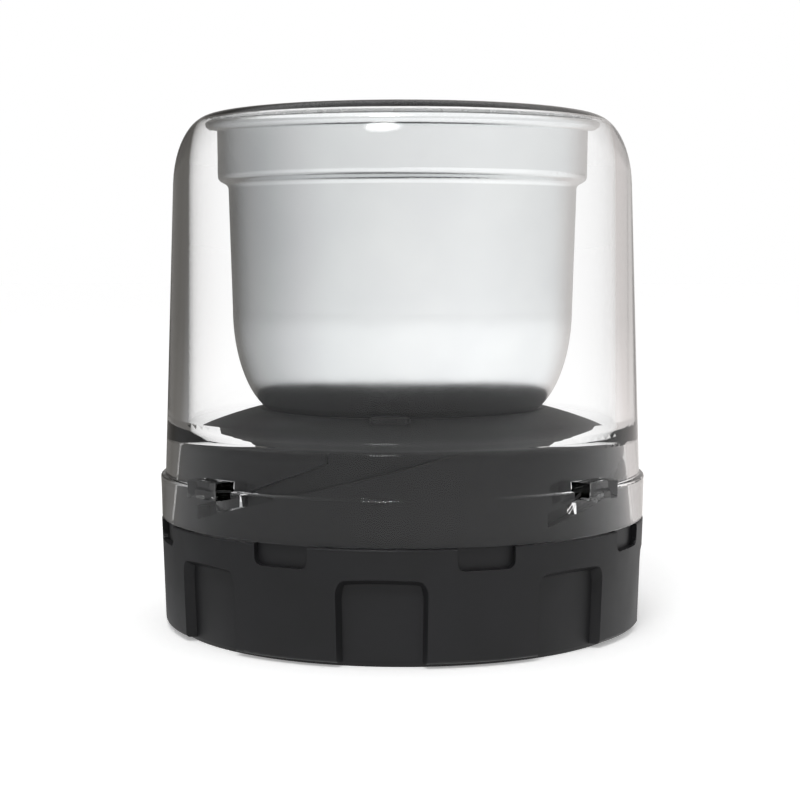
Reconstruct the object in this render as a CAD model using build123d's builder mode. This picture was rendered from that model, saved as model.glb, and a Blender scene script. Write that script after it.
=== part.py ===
from build123d import *
from math import cos, radians, sin, tan
import os

# Coffee and spice grinder head: a clear screw-on cover over a steel bowl with two blades,
# carried by a black base that takes its drive from underneath.
# Millimetres and degrees. Z is up, the floor is z = 0 and the front faces -Y.

# Base housing
foot_gap = 1.0
rim_height = 24.8
rim_radius = 56.0
foot_taper = 0.8
foot_round = 0.8
rim_round = 0.35
housing_wall = 4.2
deck_thickness = 2.5
deck_hole_gap = 2.7
grip_count = 8
grip_clock = -4.5
grip_angle = 20.0
grip_depth = 2.2
grip_slope = 28.0
grip_drop = 6.1
grip_corner = 2.7
notch_angle = 13.0
notch_height = 4.6
notch_depth = 1.4
notch_corner = 1.7

# Bottom plate, its foot ring and the well round the drive coupling
foot_ring_gap = 0.6
foot_ring_width = 3.4
plate_lift = 0.8
plate_thickness = 3.0
plate_clearance = 0.2
well_radius = 20.0
well_wall = 2.0
well_height = 14.0

# Screws: the same size holds the plate from below and the collar from above
screw_count = 4
plate_screw_clock = 0.0
collar_screw_clock = 45.0
screw_wall_gap = 1.1
screw_radius = 1.5
screw_head_radius = 2.8
screw_head_height = 1.9
screw_head_round = 0.6
screw_length = 11.0
screw_hole_clearance = 0.2
screw_socket_width = 2.2
screw_socket_depth = 1.1
boss_radius = 3.6
boss_spare_depth = 1.5
counterbore_depth = 1.8

# Threaded collar, the black dome that the cover screws onto
collar_clearance = 0.5
collar_taper = 1.7
collar_wall = 2.7
collar_corner_drop = 3.9
collar_shoulder_round = 3.5
collar_crown = 0.35
seat_rim_reach = 6.25
seat_rim_rise = 1.9
seat_pad_inset = 4.2
seat_pad_thickness = 3.1
seat_clearance = 0.15
pad_count = 2
pad_clock = -4.4
pad_length = 8.5
pad_width = 3.2
pad_offset = 1.7
pad_rise = 0.9

# Thread: degrees are counted from the front, positive towards the right
thread_count = 4
thread_rise = 0.235
thread_front_rise = 15.9
groove_depth = 1.2
groove_width = 3.0
groove_end = -55.5
groove_exit = 20.0
ramp_start = -39.4
ramp_rise = 0.327
mouth_start = -17.5

# Thread lugs inside the cover
lug_start = -47.2
lug_end = -39.5
lug_height = 2.4
lug_lift = 0.3
lug_floor_gap = 0.4

# Bowl, deep drawn from sheet
sheet = 0.9
collar_height = 22.7
bowl_foot_round = 12.4
bowl_wall_draft = 0.8
bowl_foot_rise = 24.5
bowl_step = 2.35
bowl_wall_height = 28.2
bowl_step_rise = 1.3
bowl_side_gap = 6.7
bowl_step_round = 1.45
bead_overhang = 0.9
bowl_collar_height = 10.35
bead_half_width = 1.8
bead_half_height = 1.45
stem_hole_clearance = 0.3

# Clear cover
cover_gap = 0.2
skirt_proud = 0.1
skirt_taper = 0.22
skirt_wall = 2.7
skirt_height = 9.8
ledge_step = 1.1
ledge_rise = 0.25
ledge_round = 0.6
ledge_root_round = 0.25
skirt_bore_depth = 18.6
bore_taper = 1.8
bore_step = 1.75
bore_step_rise = 2.4
bore_corner_round = 5.5
bore_step_round = 3.5
shoulder_rise = 15.4
wall_draft = 2.25
wall_thickness = 3.55
cover_top_wall = 2.1
shoulder_width = 8.8
inner_corner_width = 3.7
curve_pull = 0.5523
seal_rib_inset = 2.2
seal_rib_width = 0.8
seal_rib_height = 1.0
lip_round = 0.4

# Locking lugs outside the cover
lock_count = 4
lock_angle = 45.0
lock_width = 9.6
lock_reach = 3.9
lock_rise = 8.4
lock_height = 3.7
lock_root = 1.5
lock_round = 0.35
detent_radius = 1.4
detent_depth = 0.5
detent_offset = 2.4

# Lid seal
seal_width = 2.3
seal_thickness = 0.7
seal_gap = 0.1
seal_rib_clearance = 0.15

# Spindle and its bearings
spindle_radius = 4.0
running_clearance = 0.06
spindle_flange_radius = 6.5
spindle_flange_thickness = 1.5
blade_seat_radius = 3.0
bush_wall = 1.94
upper_bush_length = 7.0
lower_bush_length = 6.0
shaft_seal_wall = 1.4
shaft_seal_depth = 2.1
washer_radius = 6.6
washer_thickness = 0.8
washer_gap = 0.08
upper_washer_gap = 0.07
ring_groove_depth = 0.6
ring_thickness = 1.0
ring_radius = 6.6
ring_opening = 4.2

# Bearing housing, its gasket, washer and nut
stem_wall = 2.0
stem_length = 14.5
hub_flange_width = 6.0
hub_flange_thickness = 2.4
hub_height = 10.7
hub_top_wall = 1.6
gasket_thickness = 1.0
nut_washer_width = 6.0
nut_washer_thickness = 0.8
nut_thickness = 5.5
nut_wall = 4.0
nut_bore_clearance = 0.05

# Blades
blade_thickness = 1.5
blade_tip_gap = 5.0
blade_hub_radius = 8.5
blade_root_width = 12.0
blade_tip_width = 6.0
blade_bend = 11.0
blade_clock = 35.0
blade_bevel_width = 2.2
blade_edge_land = 0.4
lower_blade_drop = 4.0
upper_blade_rise = 6.5
blade_hole_clearance = 0.05
spacer_radius = 5.5
spacer_height = 2.5
blade_washer_radius = 5.5
blade_washer_thickness = 1.0
blade_nut_radius = 5.0
blade_nut_height = 4.5
dome_radius = 3.9

# Drive coupling
coupling_rim = 4.0
coupling_bottom = 5.0
coupling_cup_wall = 3.0
lead_in_radius = 10.0
lead_in_length = 4.0
socket_step = 3.0
spline_count = 8
spline_depth = 1.6
spline_width = 2.4
socket_depth = 8.0
coupling_hub_wall = 3.5
coupling_ring_gap = 2.04
flat_offset = 3.2
flat_clearance = 0.05
rib_thickness = 1.6
coupling_screw_radius = 2.0
coupling_screw_head_radius = 3.8
coupling_screw_head_height = 2.2
coupling_screw_length = 10.0
coupling_web = 2.0
screw_pocket_depth = 2.6
coupling_rib_count = 4
coupling_screw_socket_width = 2.8
coupling_screw_socket_depth = 1.3

# What follows from the sizes above: the base
cut_margin = 5.0
foot_radius = rim_radius - foot_taper
housing_bore = foot_radius - housing_wall
deck_underside = rim_height - deck_thickness
plate_top = plate_lift + plate_thickness
foot_ring_radius = foot_radius - grip_depth - foot_ring_gap
screw_circle = housing_bore - boss_radius - screw_wall_gap
deck_hole_radius = screw_circle - boss_radius - deck_hole_gap
grip_pitch = 360 / grip_count

# The cover's skirt and bore, and the collar and bowl inside them
skirt_radius = rim_radius + skirt_proud
skirt_bore_radius = skirt_radius - skirt_wall
wall_top_radius = skirt_radius - ledge_step - wall_draft
wall_top_bore = wall_top_radius - wall_thickness
cover_flat_radius = wall_top_radius - shoulder_width
underside_radius = wall_top_bore - inner_corner_width
lock_radius = skirt_radius + lock_reach
collar_foot_radius = skirt_bore_radius - collar_clearance
collar_radius = collar_foot_radius - collar_taper
bore_step_radius = skirt_bore_radius - bore_taper
groove_radius = collar_radius - groove_depth
lug_radius = groove_radius + lug_floor_gap
bowl_collar_radius = wall_top_bore - bowl_side_gap
bowl_neck_radius = bowl_collar_radius - bowl_step
bowl_belly_radius = bowl_neck_radius - bowl_wall_draft
bowl_floor_radius = bowl_belly_radius - bowl_foot_round
bead_centre_radius = bowl_collar_radius + bead_overhang
seal_rib_radius = bead_centre_radius - seal_rib_inset
seat_rim_radius = bowl_floor_radius + seat_rim_reach
seat_pad_radius = seat_rim_radius - seat_pad_inset
pad_circle = seat_rim_radius + pad_offset
blade_reach = bowl_belly_radius - sheet - blade_tip_gap

# Heights, upwards from the rim
cover_bottom = rim_height + cover_gap
ledge_height = cover_bottom + skirt_height
skirt_bore_height = cover_bottom + skirt_bore_depth
lock_low = cover_bottom + lock_rise
thread_front_height = rim_height + thread_front_rise
bowl_foot_height = rim_height + collar_height
collar_corner_height = bowl_foot_height - collar_corner_drop
seat_rim_height = bowl_foot_height + seat_rim_rise
seat_pad_underside = bowl_foot_height - seat_pad_thickness
bowl_floor_top = bowl_foot_height + sheet
bowl_belly_height = bowl_foot_height + bowl_foot_rise
bowl_step_height = bowl_belly_height + bowl_wall_height
bead_centre_height = bowl_step_height + bowl_step_rise + bowl_collar_height
bead_top = bead_centre_height + bead_half_height
cover_underside = bead_top + seal_thickness + 2 * seal_gap
cover_height = cover_underside + cover_top_wall
wall_top_height = cover_height - shoulder_rise

# The bearings round the spindle, and the blades above them
bore_radius = spindle_radius + running_clearance
bush_radius = bore_radius + bush_wall
stem_radius = bush_radius + stem_wall
stem_hole_radius = stem_radius + stem_hole_clearance
hub_flange_radius = stem_radius + hub_flange_width
shaft_seal_radius = bush_radius + shaft_seal_wall
hub_top_radius = shaft_seal_radius + hub_top_wall
nut_washer_radius = stem_radius + nut_washer_width
nut_flat_radius = stem_radius + nut_wall
hub_flange_base = bowl_floor_top + gasket_thickness
hub_top_height = hub_flange_base + hub_height
shaft_seal_height = hub_top_height - shaft_seal_depth
upper_bush_height = shaft_seal_height - upper_bush_length
upper_washer_height = hub_top_height + washer_gap
spindle_flange_height = upper_washer_height + washer_thickness + upper_washer_gap
lower_blade_height = spindle_flange_height + spindle_flange_thickness
spacer_low = lower_blade_height + blade_thickness
upper_blade_height = spacer_low + spacer_height
blade_washer_height = upper_blade_height + blade_thickness
blade_nut_base = blade_washer_height + blade_washer_thickness

# The spindle's lower end, its clip and the drive coupling
stem_end = bowl_foot_height - stem_length
lower_bush_height = stem_end
lower_washer_height = stem_end - washer_gap - washer_thickness
ring_height = lower_washer_height - washer_gap - ring_thickness
coupling_radius = lead_in_radius + coupling_rim
socket_radius = lead_in_radius - socket_step
spline_radius = socket_radius + spline_depth
coupling_hub_radius = spindle_radius + coupling_hub_wall
coupling_ceiling = coupling_bottom + lead_in_length + socket_depth
coupling_cup_height = lead_in_length + socket_depth + coupling_cup_wall
screw_pocket_top = coupling_ceiling + screw_pocket_depth
spindle_end = screw_pocket_top + coupling_web
coupling_hub_top = ring_height - coupling_ring_gap


def wall_radius(height):
    """Outer radius of the base housing at this height."""
    share = (height - foot_gap) / (rim_height - foot_gap)
    return foot_radius + (rim_radius - foot_radius) * share


def wall_core(depth):
    """All that lies deeper than this inside the housing's sloped outer wall."""
    low = foot_gap - cut_margin
    high = rim_height + cut_margin
    with BuildPart() as core:
        with Locations((0, 0, low)):
            Cone(
                wall_radius(low) - depth,
                wall_radius(high) - depth,
                high - low,
                align=(Align.CENTER, Align.CENTER, Align.MIN),
            )
    return core.part


def tube(outer, inner, low, high):
    """A plain ring or sleeve round the Z axis."""
    with BuildPart() as ring:
        with BuildSketch(Plane.XY.offset(low)):
            Circle(outer)
            Circle(inner, mode=Mode.SUBTRACT)
        extrude(amount=high - low)
    return ring.part


def helical_bar(start, end, low, rise, inner, outer, height):
    """A bar of rectangular section that climbs round Z from one angle to another."""
    with BuildPart() as bar:
        with BuildLine() as path:
            Helix(rise * 360, rise * (end - start), inner, center=(0, 0, low))
        with BuildSketch(Plane.XZ):
            with Locations(((inner + outer) / 2, low + height / 2)):
                Rectangle(outer - inner, height)
        sweep(path=path.line, is_frenet=True)
    return bar.part.rotate(Axis.Z, start - 90)


def thread_height(angle):
    """Height of the groove's lower flank at this angle from the front."""
    return thread_front_height + thread_rise * angle


def bowl_outline(inset):
    """Half section of the bowl's body, this far inside its outer skin."""
    floor = bowl_foot_height + max(inset, 0)
    belly = bowl_belly_radius - inset
    step = bowl_step_height
    brim = bead_centre_height + (cut_margin if inset > 0 else 0)
    with BuildSketch(Plane.XZ) as outline:
        with BuildLine():
            Line((0, floor), (bowl_floor_radius, floor))
            EllipticalCenterArc(
                (bowl_floor_radius, bowl_belly_height),
                belly - bowl_floor_radius,
                bowl_belly_height - floor,
                start_angle=270,
                arc_size=90,
            )
            FilletPolyline(
                (belly, bowl_belly_height),
                (bowl_neck_radius - inset, step),
                (bowl_collar_radius - inset, step + bowl_step_rise),
                (bowl_collar_radius - inset, brim),
                radius=bowl_step_round,
            )
            Polyline((bowl_collar_radius - inset, brim), (0, brim), (0, floor))
        make_face()
    return outline.sketch


def collar_outline(inset):
    """Half section of the collar's dome, this far inside its outer skin."""
    foot = (collar_foot_radius - inset, rim_height)
    rim = (seat_rim_radius, seat_rim_height - inset)
    corner = (collar_radius - inset, collar_corner_height - inset)
    middle = (
        (rim[0] + corner[0]) / 2,
        (rim[1] + corner[1]) / 2 + collar_crown,
    )
    with BuildSketch(Plane.XZ) as outline:
        with BuildLine():
            Polyline((0, rim[1]), (0, rim_height), foot, corner)
            ThreePointArc(corner, middle, rim)
            Line(rim, (0, rim[1]))
        make_face()
        fillet(
            outline.vertices().sort_by(Axis.X)[-2:].sort_by(Axis.Y)[-1],
            collar_shoulder_round - inset / 2,
        )
    return outline.sketch


# Base housing: a deep black moulding, open below, with a deck that carries the collar.
# Eight grip recesses run out at its foot and eight notches at its rim.
grip_half = rim_radius * sin(radians(grip_angle / 2))
grip_setback = rim_radius * (1 - cos(radians(grip_angle / 2)))
grip_width = 2 * (grip_half + grip_setback * tan(radians(grip_slope)))
grip_core = wall_core(grip_depth)

with BuildPart() as grip_cutter:
    with BuildSketch(Plane.XZ.offset(rim_radius)) as grip_face:
        with Locations((0, rim_height - grip_drop)):
            Rectangle(
                grip_width,
                rim_height + 2 * cut_margin,
                align=(Align.CENTER, Align.MAX),
            )
        fillet(grip_face.vertices().group_by(Axis.Y)[-1], grip_corner)
    extrude(amount=-(grip_depth + grip_setback + cut_margin / 2), taper=grip_slope)
    add(grip_core, mode=Mode.SUBTRACT)

notch_width = 2 * rim_radius * sin(radians(notch_angle / 2))
notch_core = wall_core(notch_depth)

with BuildPart() as notch_cutter:
    with BuildSketch(Plane.XZ.offset(rim_radius + cut_margin)) as notch_face:
        with Locations((0, rim_height - notch_height)):
            Rectangle(
                notch_width,
                notch_height + cut_margin,
                align=(Align.CENTER, Align.MIN),
            )
        fillet(notch_face.vertices().group_by(Axis.Y)[0], notch_corner)
    extrude(amount=-(cut_margin * 2 + notch_depth))
    add(notch_core, mode=Mode.SUBTRACT)

with BuildPart() as base_housing:
    with BuildSketch(Plane.XZ) as housing_section:
        with BuildLine():
            Polyline(
                (housing_bore, foot_gap),
                (foot_radius, foot_gap),
                (rim_radius, rim_height),
                (deck_hole_radius, rim_height),
                (deck_hole_radius, deck_underside),
                (housing_bore, deck_underside),
                close=True,
            )
        make_face()
    revolve(axis=Axis.Z)
    with BuildSketch(Plane.XY.offset(plate_top)):
        with PolarLocations(screw_circle, screw_count, start_angle=plate_screw_clock):
            Circle(boss_radius)
    extrude(amount=deck_underside - plate_top)
    fillet(
        base_housing.edges().filter_by(GeomType.CIRCLE).sort_by(SortBy.RADIUS)[-2],
        foot_round,
    )
    fillet(
        base_housing.edges().filter_by(GeomType.CIRCLE).sort_by(SortBy.RADIUS)[-1],
        rim_round,
    )
    with PolarLocations(0, grip_count, start_angle=grip_clock):
        add(grip_cutter.part, mode=Mode.SUBTRACT)
    with PolarLocations(0, grip_count, start_angle=grip_clock + grip_pitch / 2):
        add(notch_cutter.part, mode=Mode.SUBTRACT)
    with BuildSketch(Plane.XY.offset(plate_top)):
        with PolarLocations(screw_circle, screw_count, start_angle=plate_screw_clock):
            Circle(screw_radius)
    extrude(amount=screw_length + boss_spare_depth, mode=Mode.SUBTRACT)
    with BuildSketch(Plane.XY.offset(deck_underside)):
        with PolarLocations(screw_circle, screw_count, start_angle=collar_screw_clock):
            Circle(screw_radius + screw_hole_clearance)
    extrude(amount=deck_thickness, mode=Mode.SUBTRACT)
base_housing.part.label = "base_housing"

# Bottom plate: closes the housing, stands on its foot ring and rings the drive coupling.
with BuildPart() as bottom_plate:
    with BuildSketch(Plane.XY.offset(plate_lift)):
        Circle(housing_bore - plate_clearance)
    extrude(amount=plate_thickness)
    with BuildSketch():
        Circle(foot_ring_radius)
        Circle(foot_ring_radius - foot_ring_width, mode=Mode.SUBTRACT)
    extrude(amount=foot_gap)
    with BuildSketch(Plane.XY.offset(plate_lift)):
        Circle(well_radius + well_wall)
    extrude(amount=well_height)
    with BuildSketch():
        Circle(well_radius)
    extrude(amount=plate_lift + well_height, mode=Mode.SUBTRACT)
    with BuildSketch():
        with PolarLocations(screw_circle, screw_count, start_angle=plate_screw_clock):
            Circle(screw_radius + screw_hole_clearance)
    extrude(amount=plate_top, mode=Mode.SUBTRACT)
    with BuildSketch():
        with PolarLocations(screw_circle, screw_count, start_angle=plate_screw_clock):
            Circle(screw_head_radius + screw_hole_clearance)
    extrude(amount=plate_lift + counterbore_depth, mode=Mode.SUBTRACT)
bottom_plate.part.label = "bottom_plate"


def screw_set(bearing_height, start_angle):
    """Four button-head screws driven upwards, their heads against this height."""
    with BuildPart() as screws:
        with BuildSketch(Plane.XY.offset(bearing_height)):
            with PolarLocations(screw_circle, screw_count, start_angle=start_angle):
                Circle(screw_radius)
        extrude(amount=screw_length)
        with BuildSketch(Plane.XY.offset(bearing_height)) as heads:
            with PolarLocations(screw_circle, screw_count, start_angle=start_angle):
                Circle(screw_head_radius)
        extrude(amount=-screw_head_height)
        fillet(screws.edges().group_by(Axis.Z)[0], screw_head_round)
        with BuildSketch(Plane.XY.offset(bearing_height - screw_head_height)):
            with PolarLocations(screw_circle, screw_count, start_angle=start_angle):
                RegularPolygon(screw_socket_width / 2, 6, major_radius=False)
        extrude(amount=screw_socket_depth, mode=Mode.SUBTRACT)
    return screws.part


# Bottom plate screws: into the housing's bosses, heads sunk in the plate.
bottom_plate_screws = screw_set(plate_lift + counterbore_depth, plate_screw_clock)
bottom_plate_screws.label = "bottom_plate_screws"

# Collar screws: up through the housing's deck into the collar's bosses.
collar_screws = screw_set(deck_underside, collar_screw_clock)
collar_screws.label = "collar_screws"

# Threaded collar: a black dome with a seat for the bowl and four entry grooves.
bowl_form = bowl_outline(-seat_clearance)
groove_reach = collar_foot_radius + cut_margin
groove_base = thread_height(groove_end)
ramp_base = thread_height(ramp_start)
mouth_base = thread_height(mouth_start)
groove = helical_bar(
    groove_end, groove_exit, groove_base, thread_rise, groove_radius, groove_reach, groove_width
)
groove_ramp = helical_bar(
    ramp_start, mouth_start, ramp_base, ramp_rise, groove_radius, groove_reach, groove_width
)
groove_mouth = helical_bar(
    mouth_start,
    groove_exit,
    mouth_base,
    thread_rise,
    groove_radius,
    groove_reach,
    seat_rim_height - mouth_base,
)
boss_height = screw_length + boss_spare_depth - deck_thickness

with BuildPart() as threaded_collar:
    add(collar_outline(0))
    revolve(axis=Axis.Z)
    add(collar_outline(collar_wall))
    revolve(axis=Axis.Z, mode=Mode.SUBTRACT)
    with BuildSketch(Plane.XY.offset(seat_pad_underside)):
        Circle(seat_pad_radius)
    extrude(amount=seat_pad_thickness)
    with BuildSketch(Plane.XY.offset(bowl_foot_height)):
        with PolarLocations(pad_circle, pad_count, start_angle=pad_clock - 90):
            SlotOverall(pad_length, pad_width, rotation=90)
    extrude(amount=seat_rim_height - bowl_foot_height + pad_rise - collar_crown)
    add(bowl_form)
    revolve(axis=Axis.Z, mode=Mode.SUBTRACT)
    with BuildSketch(Plane.XY.offset(rim_height)):
        with PolarLocations(screw_circle, screw_count, start_angle=collar_screw_clock):
            Circle(boss_radius)
    extrude(amount=boss_height + deck_thickness)
    for bar in (groove, groove_ramp, groove_mouth):
        with PolarLocations(0, thread_count):
            add(bar, mode=Mode.SUBTRACT)
    with BuildSketch(Plane.XY.offset(rim_height)):
        with PolarLocations(screw_circle, screw_count, start_angle=collar_screw_clock):
            Circle(screw_radius)
    extrude(amount=boss_height, mode=Mode.SUBTRACT)
    with BuildSketch(Plane.XY.offset(seat_pad_underside)):
        Circle(stem_hole_radius)
    extrude(amount=seat_pad_thickness + cut_margin, mode=Mode.SUBTRACT)
threaded_collar.part.label = "threaded_collar"

# Bowl: satin stainless sheet, deep drawn, stepped out to a collar with a rolled brim.
with BuildPart() as bowl:
    add(bowl_outline(0))
    revolve(axis=Axis.Z)
    with BuildSketch(Plane.XZ):
        with Locations((bead_centre_radius, bead_centre_height)):
            Ellipse(bead_half_width, bead_half_height)
    revolve(axis=Axis.Z)
    add(bowl_outline(sheet))
    revolve(axis=Axis.Z, mode=Mode.SUBTRACT)
    with BuildSketch(Plane.XY.offset(bowl_foot_height)):
        Circle(stem_hole_radius)
    extrude(amount=sheet, mode=Mode.SUBTRACT)
bowl.part.label = "bowl"

# Bowl gasket: a silicone ring under the bearing housing's flange.
bowl_gasket = tube(hub_flange_radius, stem_hole_radius, bowl_floor_top, hub_flange_base)
bowl_gasket.label = "bowl_gasket"

# Bearing housing: turned plastic, its flange in the bowl and its stem through the floor.
with BuildPart() as bearing_housing:
    with BuildSketch(Plane.XZ):
        with BuildLine():
            Polyline(
                (bush_radius, stem_end),
                (stem_radius, stem_end),
                (stem_radius, hub_flange_base),
                (hub_flange_radius, hub_flange_base),
                (hub_flange_radius, hub_flange_base + hub_flange_thickness),
                (hub_top_radius, hub_flange_base + 2 * hub_flange_thickness),
                (hub_top_radius, hub_top_height),
                (shaft_seal_radius, hub_top_height),
                (shaft_seal_radius, shaft_seal_height),
                (bush_radius, shaft_seal_height),
                close=True,
            )
        make_face()
    revolve(axis=Axis.Z)
bearing_housing.part.label = "bearing_housing"

# Bowl nut and its washer: clamp the bowl, the collar and the bearing housing together.
nut_washer_base = seat_pad_underside - nut_washer_thickness
bowl_nut_washer = tube(
    nut_washer_radius, stem_hole_radius, nut_washer_base, seat_pad_underside
)
bowl_nut_washer.label = "bowl_nut_washer"

with BuildPart() as bowl_nut:
    with BuildSketch(Plane.XY.offset(nut_washer_base)):
        RegularPolygon(nut_flat_radius, 6, major_radius=False)
        Circle(stem_radius + nut_bore_clearance, mode=Mode.SUBTRACT)
    extrude(amount=-nut_thickness)
bowl_nut.part.label = "bowl_nut"

# Bushes: sintered bronze sleeves at the two ends of the bearing housing's bore.
upper_bush = tube(
    bush_radius, bore_radius, upper_bush_height, upper_bush_height + upper_bush_length
)
upper_bush.label = "upper_bush"
lower_bush = tube(
    bush_radius, bore_radius, lower_bush_height, lower_bush_height + lower_bush_length
)
lower_bush.label = "lower_bush"

# Shaft seal: a rubber lip ring in the top of the bearing housing.
shaft_seal = tube(shaft_seal_radius, bore_radius, shaft_seal_height, hub_top_height)
shaft_seal.label = "shaft_seal"

# Spindle: turned steel with a flange that carries the blades and a flat for the drive.
with BuildPart() as spindle:
    with BuildSketch(Plane.XY.offset(spindle_end)):
        Circle(spindle_radius)
    extrude(amount=spindle_flange_height - spindle_end)
    with BuildSketch(Plane.XY.offset(spindle_flange_height)):
        Circle(spindle_flange_radius)
    extrude(amount=spindle_flange_thickness)
    with BuildSketch(Plane.XY.offset(lower_blade_height)):
        Circle(blade_seat_radius)
    extrude(amount=blade_nut_base + blade_nut_height - lower_blade_height)
    with BuildSketch(Plane.XY.offset(spindle_end)):
        with Locations((flat_offset, 0)):
            Rectangle(
                spindle_radius, 2 * spindle_radius, align=(Align.MIN, Align.CENTER)
            )
    extrude(amount=coupling_hub_top - spindle_end, mode=Mode.SUBTRACT)
    with BuildSketch(Plane.XY.offset(ring_height)):
        Circle(spindle_radius)
        Circle(spindle_radius - ring_groove_depth, mode=Mode.SUBTRACT)
    extrude(amount=ring_thickness, mode=Mode.SUBTRACT)
    with BuildSketch(Plane.XY.offset(spindle_end)):
        Circle(coupling_screw_radius)
    extrude(amount=coupling_screw_length, mode=Mode.SUBTRACT)
spindle.part.label = "spindle"

# Thrust washers: one under the spindle's flange, one under the lower bush.
with BuildPart() as thrust_washers:
    for height in (upper_washer_height, lower_washer_height):
        with BuildSketch(Plane.XY.offset(height)):
            Circle(washer_radius)
            Circle(bore_radius, mode=Mode.SUBTRACT)
        extrude(amount=washer_thickness)
thrust_washers.part.label = "thrust_washers"

# Retaining ring: a spring clip in the spindle's groove.
with BuildPart() as retaining_ring:
    with BuildSketch(Plane.XY.offset(ring_height)):
        Circle(ring_radius)
        Circle(spindle_radius - ring_groove_depth, mode=Mode.SUBTRACT)
        Rectangle(
            ring_radius, ring_opening, align=(Align.MIN, Align.CENTER), mode=Mode.SUBTRACT
        )
    extrude(amount=ring_thickness)
retaining_ring.part.label = "retaining_ring"


def blade(height, tip_rise, turn):
    """A two-armed blade with bent arms, ground to an edge along their leading sides."""
    low_hub = (blade_bend, height)
    low_tip = (blade_reach, height + tip_rise)
    with BuildPart() as arms:
        with BuildSketch(Plane.XZ) as side_view:
            with BuildLine():
                Polyline(
                    (0, height),
                    low_hub,
                    low_tip,
                    (low_tip[0], low_tip[1] + blade_thickness),
                    (low_hub[0], height + blade_thickness),
                    (0, height + blade_thickness),
                    close=True,
                )
            make_face()
            mirror(about=Plane.YZ)
        extrude(amount=blade_root_width, both=True)
        with BuildSketch(Plane.XY.offset(height - cut_margin)):
            Circle(blade_hub_radius)
            with BuildLine():
                Polyline(
                    (-blade_reach, -blade_tip_width / 2),
                    (0, -blade_root_width / 2),
                    (blade_reach, -blade_tip_width / 2),
                    (blade_reach, blade_tip_width / 2),
                    (0, blade_root_width / 2),
                    (-blade_reach, blade_tip_width / 2),
                    close=True,
                )
            make_face()
            Circle(blade_seat_radius + blade_hole_clearance, mode=Mode.SUBTRACT)
        extrude(amount=abs(tip_rise) + 2 * cut_margin, mode=Mode.INTERSECT)
        for side, leading in ((1, -1), (-1, 0)):
            arm_tops = arms.faces().filter_by(
                lambda face: face.center().X * side > blade_bend
                and face.normal_at().Z > abs(face.normal_at().X)
            )
            long_edges = arm_tops.edges().filter_by(
                lambda edge: abs(edge.tangent_at(0).X) > abs(edge.tangent_at(0).Y)
            )
            chamfer(
                long_edges.sort_by(Axis.Y)[leading],
                blade_bevel_width,
                blade_thickness - blade_edge_land,
                reference=arm_tops[0],
            )
    return arms.part.rotate(Axis.Z, turn)


# Blades: pressed stainless strip, the lower one bent down and the upper one bent up.
lower_blade = blade(lower_blade_height, -lower_blade_drop, blade_clock)
lower_blade.label = "lower_blade"
upper_blade = blade(upper_blade_height, upper_blade_rise, blade_clock + 90)
upper_blade.label = "upper_blade"

# Blade spacer, washer and cap nut: hold the two blades apart and down on the spindle.
blade_spacer = tube(
    spacer_radius, blade_seat_radius + blade_hole_clearance, spacer_low, upper_blade_height
)
blade_spacer.label = "blade_spacer"
blade_washer = tube(
    blade_washer_radius,
    blade_seat_radius + blade_hole_clearance,
    blade_washer_height,
    blade_nut_base,
)
blade_washer.label = "blade_washer"

with BuildPart() as blade_nut:
    with BuildSketch(Plane.XY.offset(blade_nut_base)):
        RegularPolygon(blade_nut_radius, 6, major_radius=False)
    extrude(amount=blade_nut_height)
    with Locations((0, 0, blade_nut_base + blade_nut_height)):
        Sphere(
            dome_radius, arc_size1=0, align=(Align.CENTER, Align.CENTER, Align.MIN)
        )
    with BuildSketch(Plane.XY.offset(blade_nut_base)):
        Circle(blade_seat_radius + blade_hole_clearance)
    extrude(amount=blade_nut_height, mode=Mode.SUBTRACT)
blade_nut.part.label = "blade_nut"

# Drive coupling: a black cup with a splined socket, keyed to the spindle's flat.
with BuildPart() as drive_coupling:
    with BuildSketch(Plane.XY.offset(coupling_bottom)):
        Circle(coupling_radius)
    extrude(amount=coupling_cup_height)
    with BuildSketch(Plane.XY.offset(coupling_bottom)):
        Circle(coupling_hub_radius)
    extrude(amount=coupling_hub_top - coupling_bottom)
    with BuildSketch(Plane.XY.offset(coupling_bottom + coupling_cup_height)):
        with PolarLocations(0, coupling_rib_count):
            Rectangle(
                coupling_radius - rib_thickness,
                rib_thickness,
                align=(Align.MIN, Align.CENTER),
            )
    extrude(amount=(coupling_hub_top - coupling_bottom - coupling_cup_height) / 2)
    with BuildSketch(Plane.XY.offset(coupling_bottom)):
        Circle(lead_in_radius)
    extrude(amount=lead_in_length, mode=Mode.SUBTRACT)
    with BuildSketch(Plane.XY.offset(coupling_bottom + lead_in_length)):
        Circle(socket_radius)
        with PolarLocations(0, spline_count):
            Rectangle(spline_radius, spline_width, align=(Align.MIN, Align.CENTER))
    extrude(amount=socket_depth, mode=Mode.SUBTRACT)
    with BuildSketch(Plane.XY.offset(coupling_ceiling)):
        Circle(coupling_screw_head_radius + screw_hole_clearance)
    extrude(amount=screw_pocket_top - coupling_ceiling, mode=Mode.SUBTRACT)
    with BuildSketch(Plane.XY.offset(screw_pocket_top)):
        Circle(coupling_screw_radius + screw_hole_clearance)
    extrude(amount=coupling_web, mode=Mode.SUBTRACT)
    with BuildSketch(Plane.XY.offset(spindle_end)) as keyed_bore:
        Circle(spindle_radius + flat_clearance)
        with Locations((flat_offset + flat_clearance, 0)):
            Rectangle(
                spindle_radius,
                2 * coupling_hub_radius,
                align=(Align.MIN, Align.CENTER),
                mode=Mode.SUBTRACT,
            )
    extrude(amount=coupling_hub_top - spindle_end, mode=Mode.SUBTRACT)
drive_coupling.part.label = "drive_coupling"

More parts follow.
